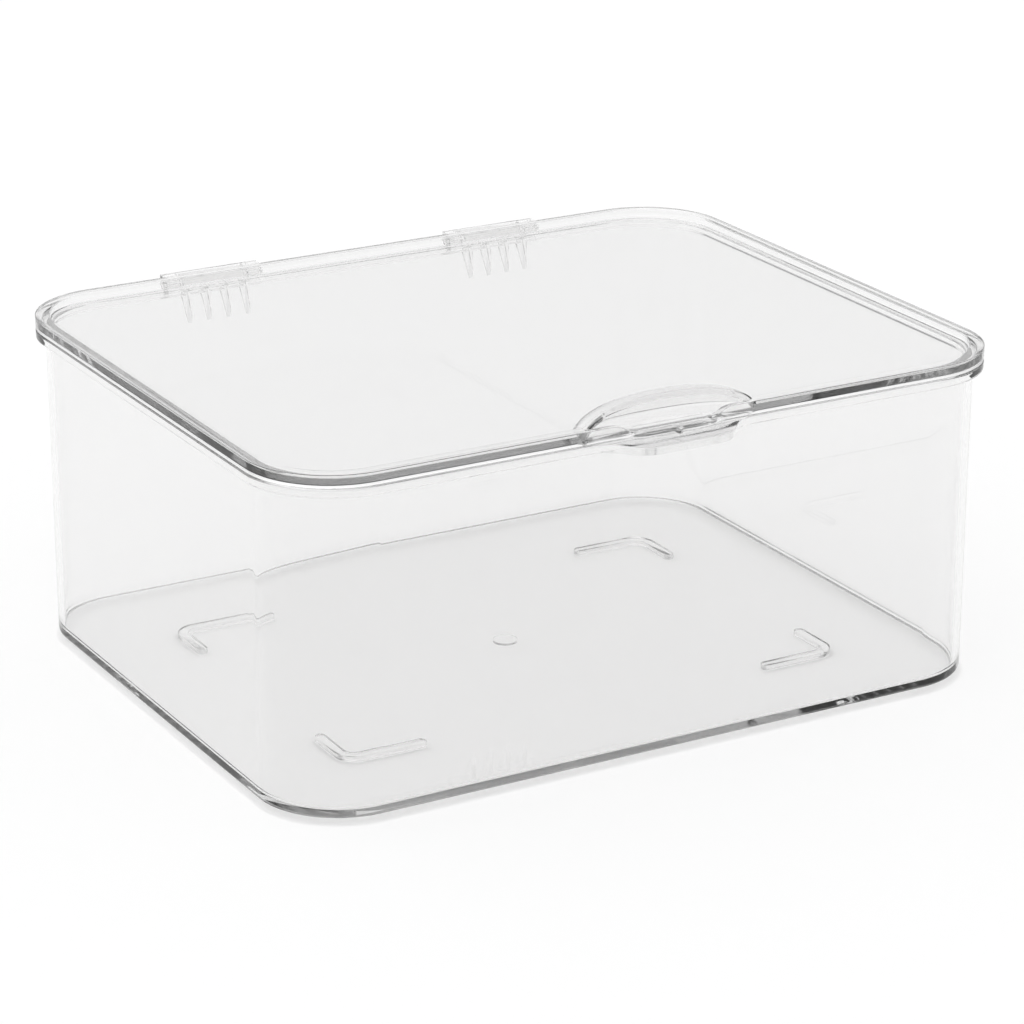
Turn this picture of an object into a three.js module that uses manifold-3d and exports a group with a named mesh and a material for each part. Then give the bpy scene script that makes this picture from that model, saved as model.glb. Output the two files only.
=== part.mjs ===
// A clear plastic storage box: a tub with a rim and a finger ledge, a lid with a raised edge and a
// thumb hood, and the two pins that the lid turns on.
// Millimetres, +Z up. The hinge runs along X and the finger ledge faces -Y. The box stands on Z = 0,
// and the origin is the middle of its footprint.
import * as THREE from "three";
import { mergeVertices } from "three/addons/utils/BufferGeometryUtils.js";
import Module from "manifold-3d";

const wasm = await Module();
wasm.setup();

// The whole box
const RIM_LENGTH = 176;
const RIM_DEPTH = 142;
const RIM_CORNER = 19.5;
const BODY_HEIGHT = 75; // from the underside of the base to the top of the lid's raised edge
const FIT_GAP = 0.3; // between the lid and the tub

// The tub
const WALL = 1.6;
const FLOOR = 1.3;
const RIM_OVERHANG = 1.8;
const WALL_CORNER = 19;
const WALL_DRAFT = 0.1; // how far each wall leans in from the rim to the base
const BASE_ROUNDING = 0.8;
const CAVITY_ROUNDING = 1.2;
const RIM_THICKNESS = 1.8;
const RIM_DROP = 3.2; // from the top of the lid's raised edge to the top of the tub's rim

// The finger ledge, a bow in the front of the tub's rim
const LEDGE_REACH = 6.9;
const LEDGE_HALF_WIDTH = 19.5;
const LEDGE_FLAT_HALF_WIDTH = 7;

// The feet, four angled ribs under the base
const FOOT_HEIGHT = 1.3;
const FOOT_WIDTH = 2.5;
const FOOT_CORNER = 5;
const FOOT_CORNER_X = 62.3;
const FOOT_CORNER_Y = 42.4;
const FOOT_LEG_X = 18.6;
const FOOT_LEG_Y = 14;
const GATE_DIAMETER = 5.6;
const GATE_HEIGHT = 0.5;

// The lid
const LID_THICKNESS = 1;
const PANEL_RECESS = 1.7;
const EDGE_WIDTH = 4;
const EDGE_ROUNDING = 0.5;
const EDGE_SLOPE = 0.7; // how far the inner side of the raised edge leans
const SKIRT_WIDTH = 1.6; // of the narrow ring under the raised edge, which rests on the tub's rim

// The thumb hood, a raised shell over a pocket behind an opening in the lid's front edge
const HOOD_HALF_WIDTH = 22;
const HOOD_HALF_DEPTH = 9;
const HOOD_RISE = 4.6; // above the raised edge
const HOOD_FOOT_DROP = 3.8; // from the top of the raised edge to the widest level of the hood's form
const HOOD_WALL = 1.6;
const HOOD_SETBACK = 1.4; // of its front face, behind the rim
const HOOD_CENTRE_SETBACK = 2.85;
const HOOD_POWER = 2.3; // 2 makes an ellipsoid, more makes it squarer
const NOTCH_HALF_WIDTH = 15;
const NOTCH_FLAT_HALF_WIDTH = 8;

// The lip, a thin bow in front of that opening, with a small point in its middle
const LIP_THICKNESS = 0.9;
const LIP_REACH = 1.9;
const LIP_HALF_WIDTH = 14;
const LIP_FLAT_HALF_WIDTH = 6;
const POINT_WIDTH = 2.4;
const POINT_REACH = 1.5;

// The hinges
const HINGE_X = 37;
const KNUCKLE_RADIUS = 1.8;
const AXIS_DROP = 0.1; // below the top of the tub's rim
const PIN_RADIUS = 0.8;
const PIN_GAP = 0.15;
const LEAF_LENGTH = 24.4;
const LEAF_THICKNESS = 1;
const LEAF_REACH = 1; // behind the pin
const GUSSET_COUNT = 4;
const GUSSET_PITCH = 4.95;
const GUSSET_THICKNESS = 1.3;
const GUSSET_HEIGHT = 6.8; // down the wall from the tub's rim

// Making
const OVERRUN = 0.5; // how far a joined piece reaches into its neighbour, and a cut past it
const CORNER_STEPS = 8;
const BEVEL_STEPS = 3;
const ROUND_STEPS = 24;
const DOME_STEPS = 40;

// Heights and depths that follow from the sizes above
const baseZ = FOOT_HEIGHT;
const edgeZ = baseZ + BODY_HEIGHT;
const rimTopZ = edgeZ - RIM_DROP;
const rimLowZ = rimTopZ - RIM_THICKNESS;
const lidLowZ = rimTopZ + FIT_GAP;
const panelTopZ = edgeZ - PANEL_RECESS;
const panelLowZ = panelTopZ - LID_THICKNESS;
const hoodFootZ = edgeZ - HOOD_FOOT_DROP;
const frontY = -RIM_DEPTH / 2;
const backY = RIM_DEPTH / 2;
const wallLength = RIM_LENGTH - 2 * RIM_OVERHANG;
const wallDepth = RIM_DEPTH - 2 * RIM_OVERHANG;
const mouthLength = wallLength - 2 * WALL;
const mouthDepth = wallDepth - 2 * WALL;
const mouthCorner = WALL_CORNER - WALL;
const axisY = backY + KNUCKLE_RADIUS + FIT_GAP;
const axisZ = rimTopZ - AXIS_DROP;
const boreRadius = PIN_RADIUS + PIN_GAP;
const bracketWidth = (GUSSET_COUNT - 1) * GUSSET_PITCH + GUSSET_THICKNESS;

// A geometry as a solid that can be joined and cut.
function solid(geometry) {
  const bare = geometry.clone();
  bare.deleteAttribute("normal");
  bare.deleteAttribute("uv");
  const merged = mergeVertices(bare);
  const vertProperties = new Float32Array(merged.attributes.position.array);
  const triVerts = new Uint32Array(merged.index.array);
  return new wasm.Manifold(new wasm.Mesh({ numProp: 3, vertProperties, triVerts }));
}

// The way back, from a solid to a geometry with flat shaded faces.
function geometryOf(made) {
  const { vertProperties, triVerts } = made.getMesh();
  const indexed = new THREE.BufferGeometry();
  indexed.setAttribute("position", new THREE.BufferAttribute(vertProperties, 3));
  indexed.setIndex(new THREE.BufferAttribute(triVerts, 1));
  const flat = indexed.toNonIndexed();
  flat.computeVertexNormals();
  return flat;
}

function box([lowX, highX], [lowY, highY], [lowZ, highZ]) {
  const geometry = new THREE.BoxGeometry(highX - lowX, highY - lowY, highZ - lowZ);
  return solid(geometry.translate((lowX + highX) / 2, (lowY + highY) / 2, (lowZ + highZ) / 2));
}

function roundedRectangle(length, depth, corner) {
  const [x, y] = [length / 2 - corner, depth / 2 - corner];
  const shape = new THREE.Shape();
  shape.absarc(x, y, corner, 0, Math.PI / 2);
  shape.absarc(-x, y, corner, Math.PI / 2, Math.PI);
  shape.absarc(-x, -y, corner, Math.PI, 1.5 * Math.PI);
  shape.absarc(x, -y, corner, 1.5 * Math.PI, 2 * Math.PI);
  return shape;
}

// An outline in X and Y, as a plate between two heights.
function plate(shape, lowZ, highZ) {
  const options = { depth: highZ - lowZ, bevelEnabled: false, curveSegments: CORNER_STEPS };
  return solid(new THREE.ExtrudeGeometry(shape, options).translate(0, 0, lowZ));
}

// An outline in Y and Z, as a rib between two places along X.
function rib(shape, lowX, highX) {
  const options = { depth: highX - lowX, bevelEnabled: false, curveSegments: CORNER_STEPS };
  const turn = new THREE.Matrix4().makeBasis(
    new THREE.Vector3(0, 1, 0),
    new THREE.Vector3(0, 0, 1),
    new THREE.Vector3(1, 0, 0),
  );
  return solid(new THREE.ExtrudeGeometry(shape, options).applyMatrix4(turn).translate(lowX, 0, 0));
}

// An outline in X and Z, as a block between two places along Y.
function block(shape, lowY, highY) {
  const options = { depth: highY - lowY, bevelEnabled: false, curveSegments: CORNER_STEPS };
  return solid(new THREE.ExtrudeGeometry(shape, options).rotateX(Math.PI / 2).translate(0, highY, 0));
}

// A section that runs round the rim. It is drawn with the distance in from the rim along X and the
// height along Y.
function ring(section) {
  const points = section.getPoints(BEVEL_STEPS);
  const positions = [];
  for (const { x: inset, y: height } of points) {
    const shape = roundedRectangle(RIM_LENGTH - 2 * inset, RIM_DEPTH - 2 * inset, RIM_CORNER - inset);
    shape.getPoints(CORNER_STEPS).forEach((place) => positions.push(place.x, place.y, height));
  }
  const around = positions.length / 3 / points.length;
  const index = [];
  for (let i = 0; i < points.length; i++) {
    for (let j = 0; j < around; j++) {
      const [here, next] = [i * around, ((i + 1) % points.length) * around];
      const beside = (j + 1) % around;
      index.push(here + j, here + beside, next + j, here + beside, next + beside, next + j);
    }
  }
  const geometry = new THREE.BufferGeometry();
  geometry.setAttribute("position", new THREE.Float32BufferAttribute(positions, 3));
  geometry.setIndex(index);
  return solid(geometry);
}

function rod(radius, lowX, highX) {
  const geometry = new THREE.CylinderGeometry(radius, radius, highX - lowX, ROUND_STEPS);
  return solid(geometry.rotateZ(Math.PI / 2).translate((lowX + highX) / 2, axisY, axisZ));
}

// A block with rounded upright corners and a rounded lower edge, cut square at the top. Its walls
// lean in by the draft from the top to the bottom.
function roundedBlock({ length, depth, corner, lowZ, highZ, rounding }) {
  const shape = roundedRectangle(length - 2 * rounding, depth - 2 * rounding, corner - rounding);
  const geometry = new THREE.ExtrudeGeometry(shape, {
    depth: highZ - lowZ,
    bevelThickness: rounding,
    bevelSize: rounding,
    bevelSegments: BEVEL_STEPS,
    curveSegments: CORNER_STEPS,
  });
  geometry.translate(0, 0, lowZ + rounding);
  const places = geometry.attributes.position;
  for (let i = 0; i < places.count; i++) {
    const lean = (WALL_DRAFT * (highZ - places.getZ(i))) / (highZ - lowZ);
    places.setX(i, places.getX(i) - Math.sign(places.getX(i)) * lean);
    places.setY(i, places.getY(i) - Math.sign(places.getY(i)) * lean);
  }
  const [x, y] = [length / 2 + OVERRUN, depth / 2 + OVERRUN];
  return solid(geometry).intersect(box([-x, x], [-y, y], [lowZ, highZ]));
}

// A closed dome: the unit ball pushed out to a squarer form, then stretched to its three half sizes.
function dome(halfWidth, halfDepth, halfHeight) {
  const geometry = new THREE.SphereGeometry(1, DOME_STEPS, DOME_STEPS / 2);
  const places = geometry.attributes.position;
  const point = new THREE.Vector3();
  for (let i = 0; i < places.count; i++) {
    point.fromBufferAttribute(places, i);
    const powers = point.toArray().map((part) => Math.abs(part) ** HOOD_POWER);
    point.divideScalar((powers[0] + powers[1] + powers[2]) ** (1 / HOOD_POWER));
    places.setXYZ(i, point.x, point.y, point.z);
  }
  geometry.scale(halfWidth, halfDepth, halfHeight);
  return solid(geometry.translate(0, frontY + HOOD_CENTRE_SETBACK, hoodFootZ));
}

// A bow that stands out in front of the rim, with its straight side under the rim. It may have a
// point in the middle.
function bowShape({ halfWidth, flat, reach, pointWidth = 0, pointReach = 0 }) {
  const [root, tip] = [frontY, frontY - reach];
  const middle = (halfWidth + flat) / 2;
  const shape = new THREE.Shape();
  shape.moveTo(halfWidth, root + OVERRUN);
  shape.lineTo(-halfWidth, root + OVERRUN);
  shape.lineTo(-halfWidth, root);
  shape.bezierCurveTo(-middle, root, -middle, tip, -flat, tip);
  shape.lineTo(-pointWidth / 2, tip);
  shape.lineTo(0, tip - pointReach);
  shape.lineTo(pointWidth / 2, tip);
  shape.lineTo(flat, tip);
  shape.bezierCurveTo(middle, tip, middle, root, halfWidth, root);
  return shape;
}

// One foot: an angle with a rounded corner and round ends, seen from above at the back right.
function footShape() {
  const [x, y] = [FOOT_CORNER_X, FOOT_CORNER_Y];
  const half = FOOT_WIDTH / 2;
  const shape = new THREE.Shape();
  shape.moveTo(x - FOOT_LEG_X, y - FOOT_WIDTH);
  shape.lineTo(x - FOOT_CORNER, y - FOOT_WIDTH);
  shape.absarc(x - FOOT_CORNER, y - FOOT_CORNER, FOOT_CORNER - FOOT_WIDTH, Math.PI / 2, 0, true);
  shape.lineTo(x - FOOT_WIDTH, y - FOOT_LEG_Y);
  shape.absarc(x - half, y - FOOT_LEG_Y, half, Math.PI, 2 * Math.PI);
  shape.lineTo(x, y - FOOT_CORNER);
  shape.absarc(x - FOOT_CORNER, y - FOOT_CORNER, FOOT_CORNER, 0, Math.PI / 2);
  shape.lineTo(x - FOOT_LEG_X, y);
  shape.absarc(x - FOOT_LEG_X, y - half, half, Math.PI / 2, 1.5 * Math.PI);
  return shape;
}

function feet() {
  const one = plate(footShape(), 0, baseZ + OVERRUN);
  const pair = one.add(one.mirror([1, 0, 0]));
  return pair.add(pair.mirror([0, 1, 0]));
}

// The bracket that carries one pin: a barrel on four gussets that run down the back wall.
function hingeBracket(centreX) {
  const wallY = backY - RIM_OVERHANG - WALL_DRAFT - OVERRUN;
  const shape = new THREE.Shape();
  shape.moveTo(wallY, rimTopZ);
  shape.lineTo(wallY, rimLowZ - GUSSET_HEIGHT);
  shape.lineTo(backY - RIM_OVERHANG, rimLowZ - GUSSET_HEIGHT);
  shape.lineTo(axisY + KNUCKLE_RADIUS / 2, axisZ - KNUCKLE_RADIUS / 2);
  shape.lineTo(axisY, axisZ);
  shape.lineTo(backY - OVERRUN, rimTopZ);
  let made = rod(KNUCKLE_RADIUS, centreX - bracketWidth / 2, centreX + bracketWidth / 2);
  for (let i = 0; i < GUSSET_COUNT; i++) {
    const lowX = centreX - bracketWidth / 2 + i * GUSSET_PITCH;
    made = made.add(rib(shape, lowX, lowX + GUSSET_THICKNESS));
  }
  return made;
}

function tub() {
  const ledge = {
    halfWidth: LEDGE_HALF_WIDTH,
    flat: LEDGE_FLAT_HALF_WIDTH,
    reach: LEDGE_REACH,
  };
  const outer = roundedBlock({
    length: wallLength,
    depth: wallDepth,
    corner: WALL_CORNER,
    lowZ: baseZ,
    highZ: rimTopZ,
    rounding: BASE_ROUNDING,
  });
  const cavity = roundedBlock({
    length: mouthLength,
    depth: mouthDepth,
    corner: mouthCorner,
    lowZ: baseZ + FLOOR,
    highZ: rimTopZ + OVERRUN,
    rounding: CAVITY_ROUNDING,
  });
  const rim = plate(roundedRectangle(RIM_LENGTH, RIM_DEPTH, RIM_CORNER), rimLowZ, rimTopZ);
  const gate = new THREE.CylinderGeometry(
    GATE_DIAMETER / 2,
    GATE_DIAMETER / 2,
    GATE_HEIGHT + OVERRUN,
    ROUND_STEPS,
  );
  gate.rotateX(Math.PI / 2).translate(0, 0, baseZ + (OVERRUN - GATE_HEIGHT) / 2);
  let made = outer
    .add(rim)
    .add(plate(bowShape(ledge), rimLowZ, rimTopZ))
    .add(hingeBracket(-HINGE_X))
    .add(hingeBracket(HINGE_X))
    .subtract(cavity)
    .add(feet())
    .add(solid(gate));
  for (const x of [-HINGE_X, HINGE_X]) {
    const reach = bracketWidth / 2 + OVERRUN;
    made = made.subtract(rod(boreRadius, x - reach, x + reach));
  }
  return made;
}

// The lid's half of one hinge: a leaf over the barrel, with an ear at each end that the pin goes
// through.
function hingeLeaf(centreX) {
  const leafLowZ = axisZ + KNUCKLE_RADIUS + FIT_GAP;
  const leafTopZ = leafLowZ + LEAF_THICKNESS;
  const [lowX, highX] = [centreX - LEAF_LENGTH / 2, centreX + LEAF_LENGTH / 2];
  const backEdgeY = axisY + LEAF_REACH;
  const ears = [
    [lowX, centreX - bracketWidth / 2 - FIT_GAP],
    [centreX + bracketWidth / 2 + FIT_GAP, highX],
  ];
  let made = box([lowX, highX], [backY - EDGE_ROUNDING, backEdgeY], [leafLowZ, leafTopZ]);
  for (const [earLow, earHigh] of ears) {
    const web = box([earLow, earHigh], [axisY - KNUCKLE_RADIUS, backEdgeY], [axisZ, leafTopZ]);
    made = made.add(web).add(rod(KNUCKLE_RADIUS, earLow, earHigh));
  }
  return made.subtract(rod(boreRadius, lowX - OVERRUN, highX + OVERRUN));
}

// What the thumb opening takes out of the raised edge: each side runs down in an S to a low sill.
function notchShape() {
  const [wide, flat] = [NOTCH_HALF_WIDTH, NOTCH_FLAT_HALF_WIDTH];
  const middle = (wide + flat) / 2;
  const [low, top] = [lidLowZ + LIP_THICKNESS, edgeZ];
  const shape = new THREE.Shape();
  shape.moveTo(wide, top + OVERRUN);
  shape.lineTo(-wide, top + OVERRUN);
  shape.lineTo(-wide, top);
  shape.bezierCurveTo(-middle, top, -middle, low, -flat, low);
  shape.lineTo(flat, low);
  shape.bezierCurveTo(middle, low, middle, top, wide, top);
  return shape;
}

// The section of the lid's edge: upright outside, rounded on top, sloping down to the panel, with the
// narrow ring that the lid rests on below.
function edgeSection() {
  const side = edgeZ - EDGE_ROUNDING;
  const section = new THREE.Shape();
  section.moveTo(0, lidLowZ);
  section.lineTo(0, side);
  section.absarc(EDGE_ROUNDING, side, EDGE_ROUNDING, Math.PI, Math.PI / 2, true);
  section.quadraticCurveTo(EDGE_WIDTH - EDGE_SLOPE, edgeZ, EDGE_WIDTH, panelTopZ);
  section.lineTo(EDGE_WIDTH, panelLowZ);
  section.lineTo(SKIRT_WIDTH, panelLowZ);
  section.lineTo(SKIRT_WIDTH, lidLowZ);
  return section;
}

function lid() {
  const lip = {
    halfWidth: LIP_HALF_WIDTH,
    flat: LIP_FLAT_HALF_WIDTH,
    reach: LIP_REACH,
    pointWidth: POINT_WIDTH,
    pointReach: POINT_REACH,
  };
  const panelInset = 2 * (EDGE_WIDTH - OVERRUN);
  const panel = plate(
    roundedRectangle(RIM_LENGTH - panelInset, RIM_DEPTH - panelInset, RIM_CORNER - panelInset / 2),
    panelLowZ,
    panelTopZ,
  );
  const widths = [-RIM_LENGTH / 2, RIM_LENGTH / 2];
  const hoodTopZ = edgeZ + HOOD_RISE;
  const height = hoodTopZ - hoodFootZ;
  const hood = dome(HOOD_HALF_WIDTH, HOOD_HALF_DEPTH, height).intersect(
    box(widths, [frontY + HOOD_SETBACK, 0], [panelLowZ, hoodTopZ]),
  );
  const hollow = dome(
    HOOD_HALF_WIDTH - HOOD_WALL,
    HOOD_HALF_DEPTH - HOOD_WALL,
    height - HOOD_WALL,
  ).intersect(box(widths, [frontY + HOOD_SETBACK, 0], [panelTopZ, hoodTopZ]));
  const notch = block(notchShape(), frontY - OVERRUN, frontY + HOOD_CENTRE_SETBACK);
  return ring(edgeSection())
    .add(panel)
    .add(hood)
    .subtract(hollow)
    .subtract(notch)
    .add(plate(bowShape(lip), lidLowZ, lidLowZ + LIP_THICKNESS))
    .add(hingeLeaf(-HINGE_X))
    .add(hingeLeaf(HINGE_X));
}

function clearPlastic(tint) {
  return new THREE.MeshStandardMaterial({
    color: tint,
    roughness: 0.06,
    metalness: 0,
    transparent: true,
    opacity: 0.35,
  });
}

function piece(name, made, material) {
  const mesh = new THREE.Mesh(geometryOf(made), material);
  mesh.name = name;
  return mesh;
}

// The pins are modelled on the hinge line, so each one's mesh is moved to its own hinge.
function pin(name, centreX) {
  const mesh = piece(name, rod(PIN_RADIUS, -LEAF_LENGTH / 2, LEAF_LENGTH / 2), clearPlastic(0xe9edee));
  mesh.position.x = centreX;
  return mesh;
}

const storageBox = new THREE.Group();
storageBox.add(piece("tub", tub(), clearPlastic(0xf0f3f4)));
storageBox.add(piece("lid", lid(), clearPlastic(0xf3f5f6)));
storageBox.add(pin("left_hinge_pin", -HINGE_X));
storageBox.add(pin("right_hinge_pin", HINGE_X));

// The ledge reaches further forward than the hinges reach back, so the middle of the footprint lies
// in front of the middle of the rim.
storageBox.position.y = (LEDGE_REACH - (axisY + KNUCKLE_RADIUS - backY)) / 2;

export default storageBox;
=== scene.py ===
# %% [markdown]
# # A clear storage box
# The box is two mouldings of clear plastic: a deep tub, and a lid that turns on two small pins at
# the back. Clear plastic has almost no colour of its own. What the eye reads are its edges, where
# light bends, so most of this lesson is about edges with the right roundings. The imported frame
# comes in first. It gives the places that every new piece has to keep.

import math

import bmesh
import bpy
from mathutils import Matrix, Vector


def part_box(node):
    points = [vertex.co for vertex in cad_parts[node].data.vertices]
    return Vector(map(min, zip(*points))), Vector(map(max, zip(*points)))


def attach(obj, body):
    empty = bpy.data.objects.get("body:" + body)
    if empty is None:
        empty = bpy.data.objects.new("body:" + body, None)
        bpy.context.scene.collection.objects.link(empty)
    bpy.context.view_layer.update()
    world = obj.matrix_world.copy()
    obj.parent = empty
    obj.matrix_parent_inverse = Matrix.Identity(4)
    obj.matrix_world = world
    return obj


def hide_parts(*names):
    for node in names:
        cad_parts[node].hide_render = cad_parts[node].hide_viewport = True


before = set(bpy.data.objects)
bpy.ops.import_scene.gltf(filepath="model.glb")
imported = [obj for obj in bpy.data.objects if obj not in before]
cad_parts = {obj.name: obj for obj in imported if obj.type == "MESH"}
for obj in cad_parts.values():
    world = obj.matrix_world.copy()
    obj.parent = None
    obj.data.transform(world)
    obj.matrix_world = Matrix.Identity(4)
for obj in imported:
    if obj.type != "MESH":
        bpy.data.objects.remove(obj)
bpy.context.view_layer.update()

# %% [markdown]
# ## Sizes
# Blender works in metres, and plastics are drawn in millimetres, so each size is written in
# millimetres and turned into metres once. Heights count from the surface that the feet stand on.
# The middle of the rim lies a little behind the middle of the frame, because the finger ledge
# reaches further out than the hinges.

# %% Sizes of the rim and its heights
MM = 0.001
TUB_LOW, TUB_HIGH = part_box("tub")
LID_LOW, LID_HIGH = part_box("lid")
RIM_LENGTH = LID_HIGH.x - LID_LOW.x
RIM_DEPTH = 142 * MM
RIM_CORNER = 19.5 * MM
FOOT_HEIGHT = 1.3 * MM
LEDGE_REACH = 6.9 * MM
MIDDLE_Y = TUB_LOW.y + LEDGE_REACH + RIM_DEPTH / 2
RIM_TOP = 73.1 * MM
RIM_LOW = 71.3 * MM
LID_UNDER = 73.4 * MM
EDGE_TOP = 76.3 * MM
PANEL_TOP = 74.6 * MM
PANEL_UNDER = 73.6 * MM
WALL = 1.6 * MM
OVERHANG = 1.8 * MM
FIT_GAP = 0.3 * MM
print("rim:", round(RIM_LENGTH / MM, 1), "x", round(RIM_DEPTH / MM, 1), "mm, middle at y =", round(MIDDLE_Y / MM, 2))

# %% [markdown]
# ## Outlines and sweeps
# Tub and lid are both bodies whose outline is a rectangle with round corners at every height.
# They could be made by bevelling a block, but then each rounding needs its own bevel. Here one
# outline is drawn, then extruded again and again: outwards, up, inwards and down, as a turner
# follows a profile. Each step moves the outline to the next point of the section, so every edge
# gets the rounding that the section gives it, and the mesh is clean rows of four-sided faces.

# %% Helpers: outlines
CORNER_STEPS = 28
FRONT_STEPS = 342
SIDE_STEPS = 60


def outline(inset, corner):
    """Half length, half depth and corner radius of an outline that lies inset from the rim."""
    return (RIM_LENGTH / 2 - inset, RIM_DEPTH / 2 - inset, corner)


def moved_to(place, old, new, height):
    """Where a point of the old outline lies on the new one."""
    made = []
    for part, old_half, new_half in zip(place[:2], old[:2], new[:2]):
        straight, new_straight = old_half - old[2], new_half - new[2]
        along = min(abs(part), straight) * new_straight / straight
        out = max(abs(part) - straight, 0) / old[2] * new[2]
        made.append(math.copysign(along + out, part))
    return Vector((*made, height))


def first_outline(bm, shape):
    """A flat face with round corners. Its sides are cut into steps, and the front side finely,
    because it bends later."""
    half_length, half_depth, corner = shape
    bmesh.ops.create_grid(bm, x_segments=1, y_segments=1, size=1)
    bmesh.ops.scale(bm, vec=(half_length, half_depth, 1), verts=bm.verts)
    bmesh.ops.bevel(
        bm, geom=bm.verts[:], offset=corner, offset_type="OFFSET", segments=CORNER_STEPS,
        profile=0.5, affect="VERTICES", material=-1,
    )
    sides = [edge for edge in bm.edges if edge.calc_length() > half_depth]
    front = [edge for edge in sides if all(vert.co.y < MM - half_depth for vert in edge.verts)]
    bmesh.ops.subdivide_edges(bm, edges=front, cuts=FRONT_STEPS)
    bmesh.ops.subdivide_edges(bm, edges=[edge for edge in sides if edge not in front], cuts=SIDE_STEPS)
    return [edge for edge in bm.edges if edge.is_boundary]


# %% Helpers: sweeps
def sweep(name, section):
    """A closed body: the first outline of the section is a face, each next one is extruded from the
    one before it, and the last is filled."""
    bm = bmesh.new()
    bend = bm.verts.layers.float.new("bend")
    shape, height, _ = section[0]
    loop = first_outline(bm, shape)
    for vert in bm.verts:
        vert.co.z = height
    for next_shape, next_height, share in section[1:]:
        made = bmesh.ops.extrude_edge_only(bm, edges=loop)["geom"]
        verts = {item for item in made if isinstance(item, bmesh.types.BMVert)}
        for vert in verts:
            vert.co = moved_to(vert.co, shape, next_shape, next_height)
            vert[bend] = share
        loop = [item for item in made if isinstance(item, bmesh.types.BMEdge) and set(item.verts) <= verts]
        shape = next_shape
    bmesh.ops.edgeloop_fill(bm, edges=loop)
    bmesh.ops.recalc_face_normals(bm, faces=bm.faces)
    print(name, "sweep:", len(bm.faces), "faces,", len([e for e in bm.edges if not e.is_manifold]), "open edges")
    return bm, bend


def rounding(centre_inset, centre_height, radius, corner_at_centre, first, last, steps, share=0.0):
    """Outlines round a quarter of an edge. Angles are in degrees: 0 points away from the box and
    90 points up. The corner radius grows outwards with the outline."""
    found = []
    for step in range(steps + 1):
        angle = math.radians(first + (last - first) * step / steps)
        out = radius * math.cos(angle)
        shape = outline(centre_inset - out, corner_at_centre + out)
        found.append((shape, centre_height + radius * math.sin(angle), share))
    return found


def s_curve(share):
    """The side of a bow: flat at both ends and steep between them."""
    low, high = 0.0, 1.0
    for _ in range(30):
        middle = (low + high) / 2
        if 1.5 * middle - 1.5 * middle**2 + middle**3 < share:
            low = middle
        else:
            high = middle
    return 3 * low**2 - 2 * low**3


def bow(x, half_width, flat_half_width):
    """How much of its reach a bow has at x, from 0 at its ends to 1 on its flat middle."""
    share = (half_width - abs(x)) / (half_width - flat_half_width)
    return s_curve(min(max(share, 0), 1))


# %% [markdown]
# ## The tub's walls, floor and rim
# The section starts in the middle of the base. It runs out to the base's rounding, up the outside
# of the wall, out under the rim, round the rim's edge, over its top and down inside to the floor.
# The finger ledge is the front of the rim pulled out into a bow, so only the rim's outer outlines
# carry a bend.

# %% Tub: section and sweep
BASE_ROUNDING = 0.8 * MM
CAVITY_ROUNDING = 1.2 * MM
RIM_EDGE = 0.2 * MM
SMALL_EDGE = 0.25 * MM
FLOOR_TOP = FOOT_HEIGHT + 1.3 * MM
BASE_CORNER = 19 * MM
DRAFT = 0.1 * MM
MOUTH_CORNER = BASE_CORNER - WALL
MOUTH_INSET = OVERHANG + WALL


def flat(inset, corner, height, share=0):
    """One more outline on a flat stretch. Close to a rounding it keeps the flat looking flat."""
    return [(outline(inset, corner), height, share)]


HOLD = 0.2 * MM
tub_section = flat(OVERHANG + DRAFT + BASE_ROUNDING + HOLD, BASE_CORNER - BASE_ROUNDING - HOLD, FOOT_HEIGHT)
tub_section += flat(OVERHANG + DRAFT + BASE_ROUNDING, BASE_CORNER - BASE_ROUNDING, FOOT_HEIGHT)
tub_section += rounding(
    OVERHANG + DRAFT + BASE_ROUNDING, FOOT_HEIGHT + BASE_ROUNDING, BASE_ROUNDING,
    BASE_CORNER - BASE_ROUNDING, -75, 0, 5,
)
tub_section += flat(OVERHANG + DRAFT, BASE_CORNER, FOOT_HEIGHT + BASE_ROUNDING + HOLD)
tub_section += flat(OVERHANG, BASE_CORNER, RIM_LOW - SMALL_EDGE - HOLD)
tub_section += rounding(OVERHANG - SMALL_EDGE, RIM_LOW - SMALL_EDGE, SMALL_EDGE, BASE_CORNER + SMALL_EDGE, 180, 90, 2)
tub_section += rounding(RIM_EDGE, RIM_LOW + RIM_EDGE, RIM_EDGE, RIM_CORNER - RIM_EDGE, -90, 0, 4, 1)
tub_section += rounding(RIM_EDGE, RIM_TOP - RIM_EDGE, RIM_EDGE, RIM_CORNER - RIM_EDGE, 0, 90, 4, 1)
tub_section += flat(RIM_EDGE + HOLD, RIM_CORNER - RIM_EDGE - HOLD, RIM_TOP, 1)
tub_section += flat(MOUTH_INSET - SMALL_EDGE - HOLD, MOUTH_CORNER + SMALL_EDGE + HOLD, RIM_TOP)
tub_section += rounding(MOUTH_INSET - SMALL_EDGE, RIM_TOP - SMALL_EDGE, SMALL_EDGE, MOUTH_CORNER + SMALL_EDGE, 90, 180, 3)
tub_section += flat(MOUTH_INSET, MOUTH_CORNER, RIM_TOP - SMALL_EDGE - HOLD)
tub_section += flat(MOUTH_INSET + DRAFT, MOUTH_CORNER, FLOOR_TOP + CAVITY_ROUNDING + HOLD)
tub_section += rounding(
    MOUTH_INSET + DRAFT + CAVITY_ROUNDING, FLOOR_TOP + CAVITY_ROUNDING, CAVITY_ROUNDING,
    MOUTH_CORNER - CAVITY_ROUNDING, 0, -90, 6,
)
tub_section += flat(
    MOUTH_INSET + DRAFT + CAVITY_ROUNDING + HOLD, MOUTH_CORNER - CAVITY_ROUNDING - HOLD, FLOOR_TOP,
)
tub_bm, tub_bend = sweep("tub", tub_section)

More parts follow.
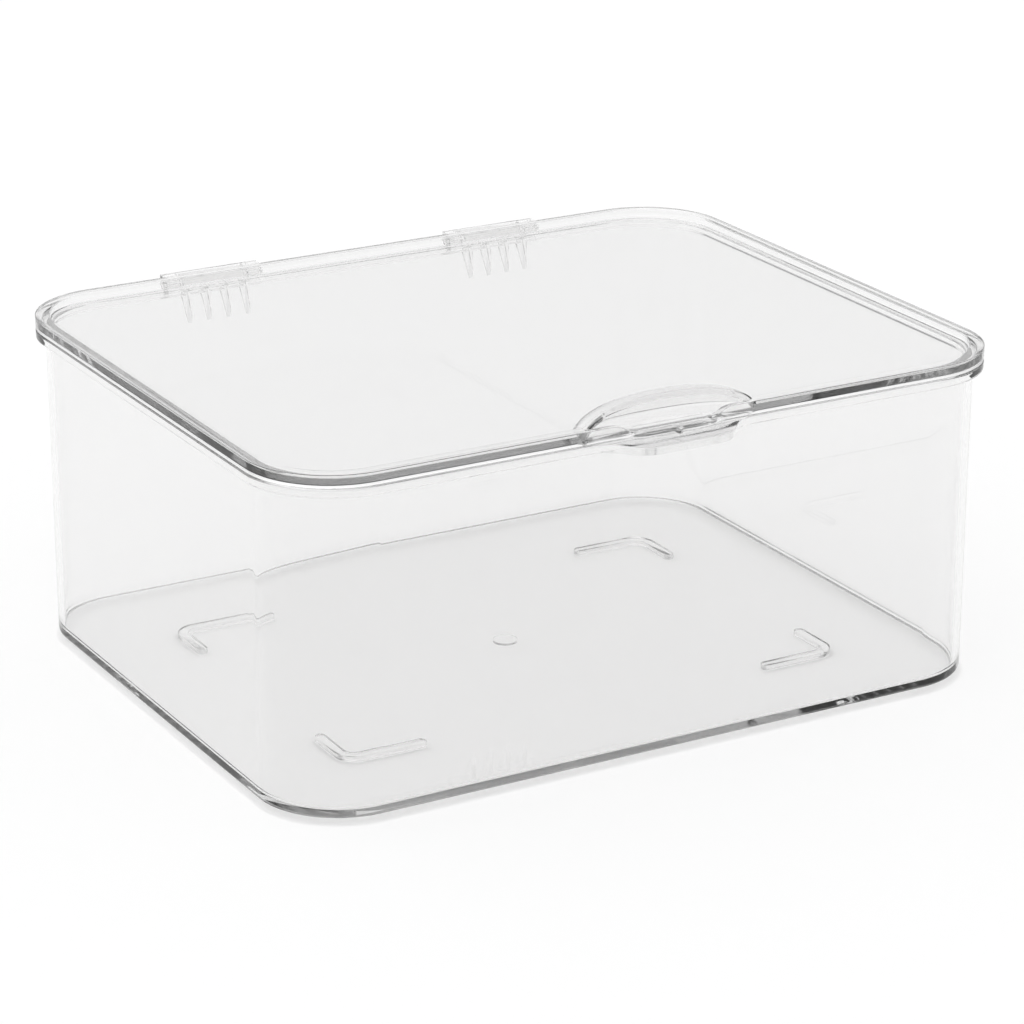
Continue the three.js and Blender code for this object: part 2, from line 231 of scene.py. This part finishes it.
LEDGE_HALF_WIDTH = 19.5 * MM
LEDGE_FLAT = 7 * MM
for vert in tub_bm.verts:
    if vert[tub_bend] > 0 and vert.co.y < 0:
        vert.co.y -= LEDGE_REACH * vert[tub_bend] * bow(vert.co.x, LEDGE_HALF_WIDTH, LEDGE_FLAT)

# %% [markdown]
# ## Joining solids
# Feet, gussets and barrels grow out of the tub, and light has to pass from one into the other with
# no skin between them, or the eye sees the hidden skin. So they are made as bodies of their own and
# joined with Boolean modifiers in exact mode. Each body gets its edges rounded before it is joined,
# because a bevel is easy on a plain body and hard on a joined one.

# %% Helpers: bodies and joins
def from_bmesh(name, bm):
    mesh = bpy.data.meshes.new(name)
    bm.to_mesh(mesh)
    bm.free()
    made = bpy.data.objects.new(name, mesh)
    bpy.context.scene.collection.objects.link(made)
    return made


def joined(body, tools, operation):
    """The body with each tool added or cut away. The tools are used up."""
    for tool in tools:
        step = body.modifiers.new(operation, "BOOLEAN")
        step.operation, step.solver, step.object = operation, "EXACT", tool
    bpy.context.view_layer.update()
    finished = bpy.data.meshes.new_from_object(body.evaluated_get(bpy.context.evaluated_depsgraph_get()))
    body.modifiers.clear()
    old, body.data = body.data, finished
    bpy.data.meshes.remove(old)
    for tool in tools:
        bpy.data.meshes.remove(tool.data)
    return body


def slab(points, thickness, soft_edge=0.0, soft_steps=2):
    """A flat outline in X and Y pushed up along Z, with its edges rounded."""
    bm = bmesh.new()
    face = bm.faces.new([bm.verts.new((*point, 0)) for point in points])
    grown = bmesh.ops.extrude_face_region(bm, geom=[face])["geom"]
    bmesh.ops.translate(bm, vec=(0, 0, thickness), verts=[item for item in grown if isinstance(item, bmesh.types.BMVert)])
    bmesh.ops.recalc_face_normals(bm, faces=bm.faces)
    if soft_edge:
        bmesh.ops.bevel(
            bm, geom=bm.edges[:], offset=soft_edge, offset_type="OFFSET", segments=soft_steps,
            profile=0.5, affect="EDGES", material=-1,
        )
    return bm


def rod(radius, length, segments=40, soft_edge=0.0):
    """A round bar along X, centred on the origin."""
    bm = bmesh.new()
    bmesh.ops.create_cone(bm, cap_ends=True, segments=segments, radius1=radius, radius2=radius, depth=length)
    if soft_edge:
        ends = [edge for edge in bm.edges if len(edge.link_faces) == 2 and any(len(face.verts) > 4 for face in edge.link_faces)]
        bmesh.ops.bevel(
            bm, geom=ends, offset=soft_edge, offset_type="OFFSET", segments=3,
            profile=0.5, affect="EDGES", material=-1,
        )
    bmesh.ops.rotate(bm, matrix=Matrix.Rotation(math.pi / 2, 3, "Y"), verts=bm.verts)
    return bm


# %% [markdown]
# ## Feet and gate mark
# Four angled ribs under the base keep the floor off the table. Each is a strip along a line with one
# round bend. The strip is drawn once as an outline, pushed to its height, and mirrored to the other
# three corners. The small disc in the middle is the mark of the gate, where the plastic came in.

# %% Feet and gate mark
FOOT_WIDTH = 2.5 * MM
FOOT_CORNER = 5 * MM
FOOT_X, FOOT_Y = 62.3 * MM, 42.4 * MM
FOOT_LEG_X, FOOT_LEG_Y = 18.6 * MM, 14 * MM
OVERRUN = 0.5 * MM


def arc(centre, radius, first, last, steps):
    return [
        (
            centre[0] + radius * math.cos(math.radians(first + (last - first) * step / steps)),
            centre[1] + radius * math.sin(math.radians(first + (last - first) * step / steps)),
        )
        for step in range(steps + 1)
    ]


def foot(sign_x, sign_y):
    half = FOOT_WIDTH / 2
    bend = (FOOT_X - FOOT_CORNER, FOOT_Y - FOOT_CORNER)
    points = arc(bend, FOOT_CORNER - FOOT_WIDTH, 90, 0, 8)
    points += arc((FOOT_X - half, FOOT_Y - FOOT_LEG_Y), half, 180, 360, 12)
    points += arc(bend, FOOT_CORNER, 0, 90, 12)
    points += arc((FOOT_X - FOOT_LEG_X, FOOT_Y - half), half, 90, 270, 12)
    bm = slab(points, FOOT_HEIGHT + OVERRUN)
    rim = [edge for edge in bm.edges if all(vert.co.z < MM / 100 for vert in edge.verts)]
    bmesh.ops.bevel(
        bm, geom=rim, offset=0.3 * MM, offset_type="OFFSET", segments=3,
        profile=0.5, affect="EDGES", material=-1,
    )
    bmesh.ops.scale(bm, vec=(sign_x, sign_y, 1), verts=bm.verts)
    if sign_x * sign_y < 0:
        bmesh.ops.reverse_faces(bm, faces=bm.faces)
    return from_bmesh("foot", bm)


def gate_mark():
    bm = bmesh.new()
    bmesh.ops.create_cone(bm, cap_ends=True, segments=48, radius1=2.8 * MM, radius2=2.8 * MM, depth=1 * MM)
    bmesh.ops.translate(bm, vec=(0, 0, FOOT_HEIGHT), verts=bm.verts)
    return from_bmesh("gate_mark", bm)


feet = [foot(sign_x, sign_y) for sign_x in (-1, 1) for sign_y in (-1, 1)]
print("feet:", len(feet))

# %% [markdown]
# ## Hinge brackets
# Each bracket is a barrel for the pin, held by four thin gussets that run down the back wall. The
# gussets are what shows of the hinges from the front: four pale strips behind the clear back wall.
# They stay a hair short of the barrel's ends, because a Boolean join wants no two faces in one plane.

# %% Hinge brackets
HINGE_X = 37 * MM
KNUCKLE = 1.8 * MM
PIN_RADIUS = 0.8 * MM
BORE_RADIUS = 0.95 * MM
AXIS_Y = RIM_DEPTH / 2 + KNUCKLE + FIT_GAP
AXIS_Z = RIM_TOP - 0.1 * MM
GUSSET_PITCH = 4.95 * MM
GUSSET = 1.3 * MM
GUSSET_HEIGHT = 6.8 * MM
SHY = 0.06 * MM
BRACKET = 3 * GUSSET_PITCH + GUSSET
LEAF_LENGTH = 24.4 * MM
TURN_UPRIGHT = Matrix(((0, 0, 1), (1, 0, 0), (0, 1, 0)))


def across(points, low_x, high_x, soft_edge=0.0):
    """An outline in Y and Z pushed from one place along X to another."""
    bm = slab(points, high_x - low_x, soft_edge, 3)
    bmesh.ops.rotate(bm, matrix=TURN_UPRIGHT, verts=bm.verts)
    bmesh.ops.translate(bm, vec=(low_x, 0, 0), verts=bm.verts)
    return bm


def on_axis(bm, centre_x):
    bmesh.ops.translate(bm, vec=(centre_x, AXIS_Y, AXIS_Z), verts=bm.verts)
    return bm


def bracket(centre_x):
    wall_y = RIM_DEPTH / 2 - OVERHANG - DRAFT
    low = RIM_LOW - GUSSET_HEIGHT
    side = [
        (wall_y - OVERRUN, RIM_TOP - OVERRUN), (wall_y - OVERRUN, low), (wall_y + DRAFT, low),
        (AXIS_Y + KNUCKLE / 2, AXIS_Z - KNUCKLE / 2), (AXIS_Y, AXIS_Z),
        (RIM_DEPTH / 2 - OVERRUN, RIM_TOP - OVERRUN / 2),
    ]
    made = [from_bmesh("barrel", on_axis(rod(KNUCKLE, BRACKET, soft_edge=0.15 * MM), centre_x))]
    for number in range(4):
        low_x = centre_x - BRACKET / 2 + number * GUSSET_PITCH
        made.append(from_bmesh("gusset", across(side, low_x + SHY, low_x + GUSSET - SHY, 0.2 * MM)))
    return made


def bore(centre_x, length):
    return from_bmesh("bore", on_axis(rod(BORE_RADIUS, length), centre_x))


tub = from_bmesh("clear_tub", tub_bm)
joined(tub, [*feet, gate_mark(), *bracket(-HINGE_X), *bracket(HINGE_X)], "UNION")
joined(tub, [bore(x, BRACKET + 2 * OVERRUN) for x in (-HINGE_X, HINGE_X)], "DIFFERENCE")
print("tub:", len(tub.data.polygons), "faces")

# %% [markdown]
# ## The lid
# The lid's section starts under its panel. It runs out to the narrow skirt that rests on the tub's
# rim, up the outside, over the raised edge and down its inner slope to the panel. At the front the
# edge sinks to a low sill under the thumb hood, in an S at either side, and a lip bows out there.

# %% Lid: section and sweep
LIP_TOP = LID_UNDER + 0.9 * MM
EDGE_ROUNDING = 0.16 * MM
EDGE_WIDTH = 3.7 * MM
SKIRT = 1.6 * MM
EDGE_LEAN = 0.45 * MM
INNER_EDGE = 0.3 * MM

lid_section = flat(EDGE_WIDTH, RIM_CORNER - EDGE_WIDTH, PANEL_UNDER)
lid_section += flat(SKIRT + HOLD, RIM_CORNER - SKIRT - HOLD, PANEL_UNDER)
lid_section += flat(SKIRT, RIM_CORNER - SKIRT, PANEL_UNDER - HOLD / 2)
lid_section += flat(SKIRT - HOLD / 2, RIM_CORNER - SKIRT + HOLD / 2, LID_UNDER)
lid_section += rounding(SMALL_EDGE, LID_UNDER + SMALL_EDGE, SMALL_EDGE, RIM_CORNER - SMALL_EDGE, -90, 0, 3, 1)
lid_section += flat(0, RIM_CORNER, LIP_TOP - HOLD, 1)
lid_section += flat(0, RIM_CORNER, LIP_TOP, 0.93)
lid_section += flat(0, RIM_CORNER, LIP_TOP)
lid_section += rounding(EDGE_ROUNDING, EDGE_TOP - EDGE_ROUNDING, EDGE_ROUNDING, RIM_CORNER - EDGE_ROUNDING, 0, 90, 5)
lid_section += rounding(
    EDGE_WIDTH - EDGE_LEAN - INNER_EDGE, EDGE_TOP - INNER_EDGE, INNER_EDGE,
    RIM_CORNER - EDGE_WIDTH + EDGE_LEAN + INNER_EDGE, 90, 165, 4,
)
lid_section += rounding(
    EDGE_WIDTH + INNER_EDGE, PANEL_TOP + INNER_EDGE, INNER_EDGE, RIM_CORNER - EDGE_WIDTH - INNER_EDGE, -15, -90, 4,
)
lid_section += flat(EDGE_WIDTH + INNER_EDGE + HOLD, RIM_CORNER - EDGE_WIDTH - INNER_EDGE - HOLD, PANEL_TOP)
lid_bm, lid_bend = sweep("lid", lid_section)

LIP_REACH = 1.9 * MM
LIP_HALF_WIDTH, LIP_FLAT = 14 * MM, 6 * MM
POINT_HALF_WIDTH, POINT_REACH = 1.2 * MM, 1.5 * MM
NOTCH_HALF_WIDTH, NOTCH_FLAT = 15 * MM, 8 * MM
FRONT = -RIM_DEPTH / 2
HOOD_MIDDLE = FRONT + 2.85 * MM
for vert in lid_bm.verts:
    if vert.co.y > FRONT + EDGE_WIDTH:
        continue
    sink = bow(vert.co.x, NOTCH_HALF_WIDTH, NOTCH_FLAT)
    low = LIP_TOP if vert.co.y < HOOD_MIDDLE else PANEL_TOP
    if vert.co.z > low:
        vert.co.z += (low - vert.co.z) * sink
    if vert[lid_bend] > 0:
        point = max(1 - abs(vert.co.x) / POINT_HALF_WIDTH, 0) * POINT_REACH
        vert.co.y -= vert[lid_bend] * (LIP_REACH * bow(vert.co.x, LIP_HALF_WIDTH, LIP_FLAT) + point)
bmesh.ops.remove_doubles(lid_bm, verts=lid_bm.verts, dist=MM / 1000)
bmesh.ops.dissolve_degenerate(lid_bm, edges=lid_bm.edges, dist=MM / 1000)
print("lid:", len([edge for edge in lid_bm.edges if not edge.is_manifold]), "open edges")

# %% [markdown]
# ## The thumb hood
# The hood is half of a squared-off ball, hollow, and open at the front. A sphere is made with the
# sphere operator, then each point is pushed out to the squarer form, so that the hood has a flatter
# top and fuller shoulders than a ball has. The same form, smaller by the wall, is cut out of it. The
# front edge is moulded round: a few cuts behind the front let both forms curl there, the outer one
# inwards and the hollow outwards. Left square, that edge would show as a broad grey band.

# %% Thumb hood
HOOD_POWER = 2.3
HOOD_TOP = EDGE_TOP + 4.6 * MM
HOOD_WALL = 1.6 * MM
HOOD_SETBACK = 1.4 * MM
HOOD_LIP = 0.7 * MM
HOOD_FOOT = 72.5 * MM
HOOD_SIZE = (22 * MM, 9 * MM, HOOD_TOP - HOOD_FOOT)


def dome(name, size, front, low, curl):
    """A squared-off ball with the hood's middle, cut flat in front and below. Close behind the hood's
    front it curls in or out by the curl's share of a round lip."""
    bm = bmesh.new()
    bmesh.ops.create_uvsphere(bm, u_segments=112, v_segments=56, radius=1)
    for vert in bm.verts:
        grown = sum(abs(part) ** HOOD_POWER for part in vert.co) ** (1 / HOOD_POWER)
        vert.co /= grown
    bmesh.ops.scale(bm, vec=size, verts=bm.verts)
    bmesh.ops.translate(bm, vec=(0, HOOD_MIDDLE, HOOD_FOOT), verts=bm.verts)
    hood_front = FRONT + HOOD_SETBACK
    for angle in range(0, 91, 15):
        back = HOOD_LIP * (1 - math.sin(math.radians(angle)))
        bmesh.ops.bisect_plane(
            bm, geom=bm.verts[:] + bm.edges[:] + bm.faces[:], plane_co=(0, hood_front + back, 0), plane_no=(0, -1, 0),
        )
    for vert in bm.verts:
        depth = HOOD_LIP - max(vert.co.y - hood_front, 0)
        if depth > 0:
            turned = HOOD_LIP - math.sqrt(max(HOOD_LIP**2 - depth**2, 0))
            out = Vector((vert.co.x / size[0], 0, (vert.co.z - HOOD_FOOT) / size[2])).normalized()
            vert.co += out * curl * turned
    for place, normal in (((0, front, 0), (0, -1, 0)), ((0, 0, low), (0, 0, -1))):
        cut = bmesh.ops.bisect_plane(
            bm, geom=bm.verts[:] + bm.edges[:] + bm.faces[:], plane_co=place, plane_no=normal, clear_outer=True,
        )["geom_cut"]
        bmesh.ops.edgeloop_fill(bm, edges=[item for item in cut if isinstance(item, bmesh.types.BMEdge)])
    bmesh.ops.recalc_face_normals(bm, faces=bm.faces)
    print(name, len(bm.faces), "faces,", len([e for e in bm.edges if not e.is_manifold]), "open edges")
    return bm


def notch():
    """The opening in the hood's front, with the same S at either side as the lid's edge."""
    steps = 24
    side = [
        (NOTCH_FLAT + OVERRUN + (NOTCH_HALF_WIDTH - NOTCH_FLAT) * step / steps,
         LIP_TOP + (EDGE_TOP - LIP_TOP) * (1 - s_curve(1 - step / steps)))
        for step in range(steps + 1)
    ]
    top, bottom = HOOD_TOP, LID_UNDER - OVERRUN
    points = [(side[-1][0], top), (-side[-1][0], top)]
    points += [(-x, z) for x, z in reversed(side)]
    points += [(-side[0][0], bottom), (side[0][0], bottom)] + side
    bm = slab(points, HOOD_MIDDLE - FRONT + OVERRUN)
    bmesh.ops.rotate(bm, matrix=Matrix.Rotation(math.pi / 2, 3, "X"), verts=bm.verts)
    bmesh.ops.translate(bm, vec=(0, HOOD_MIDDLE, 0), verts=bm.verts)
    return from_bmesh("notch", bm)


hood = from_bmesh("hood", dome("hood", HOOD_SIZE, FRONT + HOOD_SETBACK, LID_UNDER + 0.4 * MM, -1))
joined(hood, [notch()], "DIFFERENCE")
hollow_size = [part - HOOD_WALL for part in HOOD_SIZE]
hollow = from_bmesh("hollow", dome("hollow", hollow_size, FRONT + HOOD_SETBACK - MM / 100, PANEL_TOP + MM / 100, 1))

# %% [markdown]
# ## The lid's half of the hinges
# Over each barrel lies a short leaf with an ear at either end. The pin goes through both ears and
# the barrel. The leaf is a small block, and each ear a block and a bar joined.

# %% Hinge leaves and pins
LEAF_UNDER = AXIS_Z + KNUCKLE + FIT_GAP
LEAF_TOP = LEAF_UNDER + 1 * MM
LEAF_BACK = AXIS_Y + 1 * MM


def block(name, low, high, soft_edge):
    bm = bmesh.new()
    bmesh.ops.create_cube(bm, size=1)
    bmesh.ops.scale(bm, vec=Vector(high) - Vector(low), verts=bm.verts)
    bmesh.ops.translate(bm, vec=(Vector(high) + Vector(low)) / 2, verts=bm.verts)
    bmesh.ops.bevel(
        bm, geom=bm.edges[:], offset=soft_edge, offset_type="OFFSET", segments=2,
        profile=0.5, affect="EDGES", material=-1,
    )
    return from_bmesh(name, bm)


def leaf(centre_x):
    low_x, high_x = centre_x - LEAF_LENGTH / 2, centre_x + LEAF_LENGTH / 2
    made = [block("leaf", (low_x, RIM_DEPTH / 2 - OVERRUN, LEAF_UNDER), (high_x, LEAF_BACK, LEAF_TOP), 0.2 * MM)]
    gap_x = BRACKET / 2 + FIT_GAP
    for ear_low, ear_high in ((low_x, centre_x - gap_x), (centre_x + gap_x, high_x)):
        made.append(block("ear", (ear_low, AXIS_Y - KNUCKLE, AXIS_Z), (ear_high, LEAF_BACK, LEAF_TOP), 0.15 * MM))
        bar = rod(KNUCKLE, ear_high - ear_low, soft_edge=0.15 * MM)
        made.append(from_bmesh("ear_bar", on_axis(bar, (ear_low + ear_high) / 2)))
    return made


lid = from_bmesh("clear_lid", lid_bm)
joined(lid, [*leaf(-HINGE_X), *leaf(HINGE_X)], "UNION")
joined(lid, [bore(x, LEAF_LENGTH + 2 * OVERRUN) for x in (-HINGE_X, HINGE_X)], "DIFFERENCE")
joined(lid, [hood], "UNION")
joined(lid, [hollow], "DIFFERENCE")
pins = {
    side: from_bmesh(f"clear_{side}_pin", on_axis(rod(PIN_RADIUS, LEAF_LENGTH, soft_edge=0.12 * MM), x))
    for side, x in (("left", -HINGE_X), ("right", HINGE_X))
}
print("lid:", len(lid.data.polygons), "faces")

# %% [markdown]
# ## Shading and places
# Smooth shading hides the facets of the corners. Edges sharper than 30 degrees stay sharp. Every
# piece is drawn about the middle of the rim, so its points are moved to their place in the frame,
# and the object itself stays at the origin. Then each piece rides on its body of the frame, and
# stands for the frame's own node.

# %% Finish the meshes and put them on the frame
for piece in (tub, lid, *pins.values()):
    piece.data.transform(Matrix.Translation((0, MIDDLE_Y, 0)))
    piece.data.polygons.foreach_set("use_smooth", [True] * len(piece.data.polygons))
    piece.data.set_sharp_from_angle(angle=math.radians(30))
    check = bmesh.new()
    check.from_mesh(piece.data)
    print(
        piece.name, "open edges", len([edge for edge in check.edges if not edge.is_manifold]),
        "volume", round(check.calc_volume(signed=True) * 1e6, 2), "cm3,", len(check.faces), "faces",
    )
    check.free()
for piece, body, node, slot in (
    (tub, "tub", "tub", "tub"), (lid, "lid", "lid", "lid"),
    (pins["left"], "tub", "left_hinge_pin", "hinge_pins"), (pins["right"], "tub", "right_hinge_pin", "hinge_pins"),
):
    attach(piece, body)
    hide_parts(node)

# %% [markdown]
# ## Clear plastic
# The finish is one shader: full transmission, a low roughness and the index of refraction of a
# clear moulding plastic. What comes through is tinted a little by the colour, so each wall takes a
# few parts in a hundred. One faint large noise shifts that tint a little, bends the surface by a
# hair, as cooling does to a moulded panel, and varies how polished it is.

# %% Materials
ABSORBED = 13


def clear_plastic(name, pale, deep, roughness, waviness):
    made = bpy.data.materials.new(name)
    made.use_nodes = True
    nodes, links = made.node_tree.nodes, made.node_tree.links
    shader = nodes["Principled BSDF"]
    shader.inputs["Transmission Weight"].default_value = 1
    shader.inputs["IOR"].default_value = 1.5
    place = nodes.new("ShaderNodeTexCoord")
    drift = nodes.new("ShaderNodeTexNoise")
    drift.inputs["Scale"].default_value = 9
    drift.inputs["Detail"].default_value = 2
    links.new(place.outputs["Object"], drift.inputs["Vector"])
    tint = nodes.new("ShaderNodeMix")
    tint.data_type = "RGBA"
    tint.inputs["A"].default_value = (*pale, 1)
    tint.inputs["B"].default_value = (*deep, 1)
    links.new(drift.outputs["Fac"], tint.inputs["Factor"])
    links.new(tint.outputs["Result"], shader.inputs["Base Color"])
    polish = nodes.new("ShaderNodeMapRange")
    polish.inputs["To Min"].default_value = roughness / 2
    polish.inputs["To Max"].default_value = roughness
    links.new(drift.outputs["Fac"], polish.inputs["Value"])
    links.new(polish.outputs["Result"], shader.inputs["Roughness"])
    wave = nodes.new("ShaderNodeBump")
    wave.inputs["Strength"].default_value = waviness
    wave.inputs["Distance"].default_value = 0.2 * MM
    links.new(drift.outputs["Fac"], wave.inputs["Height"])
    links.new(wave.outputs["Normal"], shader.inputs["Normal"])
    depth = nodes.new("ShaderNodeVolumeAbsorption")
    depth.inputs["Color"].default_value = (0.5, 0.5, 0.5, 1)
    depth.inputs["Density"].default_value = ABSORBED
    links.new(depth.outputs["Volume"], nodes["Material Output"].inputs["Volume"])
    return made


plastic = clear_plastic("clear_plastic", (0.962, 0.961, 0.96), (0.952, 0.951, 0.951), 0.02, 0.3)
for piece in (tub, lid, *pins.values()):
    piece.data.materials.clear()
    piece.data.materials.append(plastic)

# %% [markdown]
# ## Table, light and camera
# Clear things are lit by what surrounds them. A pale table and a bright room all round keep the
# panels white. The table lies a tenth of a millimetre under the feet: two faces at one height would
# leave it to chance which of them a ray meets first. The room is brightest overhead and fades a
# little towards the right, as it does beside one big window.

# %% Table
table_bm = bmesh.new()
bmesh.ops.create_circle(table_bm, cap_ends=True, segments=96, radius=12)
bmesh.ops.translate(table_bm, vec=(0, 0, -0.1 * MM), verts=table_bm.verts)
table = from_bmesh("table", table_bm)
table_finish = bpy.data.materials.new("white_table")
table_finish.use_nodes = True
table_finish.node_tree.nodes["Principled BSDF"].inputs["Base Color"].default_value = (0.93, 0.93, 0.93, 1)
table_finish.node_tree.nodes["Principled BSDF"].inputs["Roughness"].default_value = 0.9
table_finish.node_tree.nodes["Principled BSDF"].inputs["Specular IOR Level"].default_value = 0
table.data.materials.append(table_finish)

# %% Room
scene = bpy.context.scene
room = bpy.data.worlds.new("studio")
room.use_nodes = True
scene.world = room
room_nodes, room_links = room.node_tree.nodes, room.node_tree.links
direction = room_nodes.new("ShaderNodeTexCoord")
parts = room_nodes.new("ShaderNodeSeparateXYZ")
room_links.new(direction.outputs["Generated"], parts.inputs["Vector"])


def along(part, low, high, dark, bright):
    """How bright the room is along one direction, from dark at its low end to bright at its high end."""
    step = room_nodes.new("ShaderNodeMapRange")
    step.interpolation_type = "SMOOTHSTEP"
    for name, value in (("From Min", low), ("From Max", high), ("To Min", dark), ("To Max", bright)):
        step.inputs[name].default_value = value
    room_links.new(parts.outputs[part], step.inputs["Value"])
    return step.outputs["Result"]


both = room_nodes.new("ShaderNodeMath")
both.operation = "MULTIPLY"
room_links.new(along("Z", 0.3, 0.9, 0.93, 1.18), both.inputs[0])
room_links.new(along("X", -0.6, 0.6, 1.1, 0.9), both.inputs[1])
light = room_nodes["Background"]
light.inputs["Color"].default_value = (1, 1, 1, 1)
room_links.new(both.outputs["Value"], light.inputs["Strength"])
scene.cycles.max_bounces = 64
scene.cycles.transmission_bounces = 64
scene.cycles.glossy_bounces = 64
scene.cycles.blur_glossy = 0

# %% Camera
TARGET = Vector((0, 1.5, 38.8)) * MM
AZIMUTH, ELEVATION = math.radians(-29.401), math.radians(19.799)
BACK = Vector((math.sin(AZIMUTH) * math.cos(ELEVATION), -math.cos(AZIMUTH) * math.cos(ELEVATION), math.sin(ELEVATION)))
camera = bpy.data.objects.new("camera", bpy.data.cameras.new("camera"))
scene.collection.objects.link(camera)
camera.location = TARGET + BACK * 836.47 * MM
camera.rotation_euler = BACK.to_track_quat("Z", "Y").to_euler()
camera.data.lens = 131.48
camera.data.sensor_width = 36
camera.data.shift_x = 0.00814
camera.data.shift_y = -0.02518
scene.camera = camera
scene.view_settings.view_transform = "Standard"
